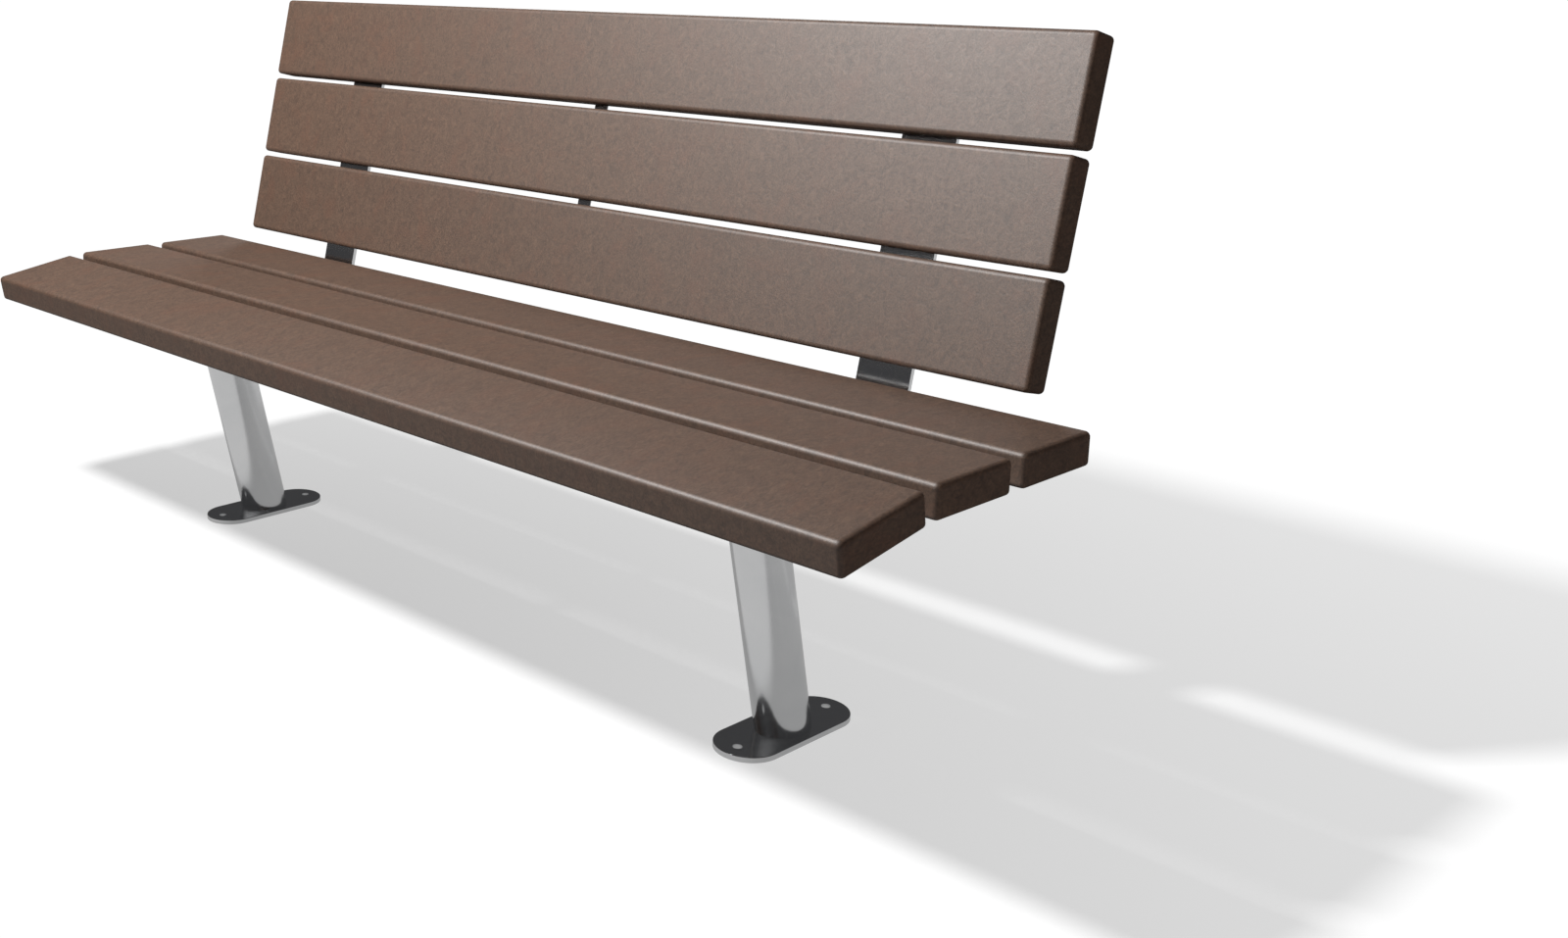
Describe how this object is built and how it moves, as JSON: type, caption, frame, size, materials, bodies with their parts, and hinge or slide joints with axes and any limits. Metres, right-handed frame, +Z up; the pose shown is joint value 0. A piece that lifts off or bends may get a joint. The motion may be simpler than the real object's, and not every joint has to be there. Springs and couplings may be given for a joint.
{
  "type": "park bench",
  "caption": "Park bench with backrest: brown recycled-plastic planks on bent flat steel bars, carried by leaning oval steel legs on bolt-down base plates.",
  "frame": {"origin": "on the ground, in the middle of the bench's length and of its depth", "axes": "+X along the bench to the sitter's left, that is to the right as seen from the front; -Y towards the front; +Z up"},
  "size_m": [2, 0.6655, 0.9695],
  "materials": {
    "plank": "satin brown recycled plastic with a fine streaky grain",
    "steel": "smooth satin stainless steel",
    "fastener": "plain stainless steel"
  },
  "bodies": {
    "root": {"back_plank_lower": "plank", "back_plank_middle": "plank", "back_plank_upper": "plank", "back_screws_left": "fastener", "back_screws_right": "fastener", "back_strap": "steel", "back_strap_screws": "fastener", "back_strap_washers": "fastener", "back_washers_left": "fastener", "back_washers_right": "fastener", "base_plate_left": "steel", "base_plate_right": "steel", "leg_tube_left": "steel", "leg_tube_right": "steel", "seat_plank_front": "plank", "seat_plank_middle": "plank", "seat_plank_rear": "plank", "seat_screws_left": "fastener", "seat_screws_right": "fastener", "seat_strap": "steel", "seat_strap_screws": "fastener", "seat_strap_washers": "fastener", "seat_washers_left": "fastener", "seat_washers_right": "fastener", "support_bar_left": "steel", "support_bar_right": "steel"}
  },
  "joints": []
}
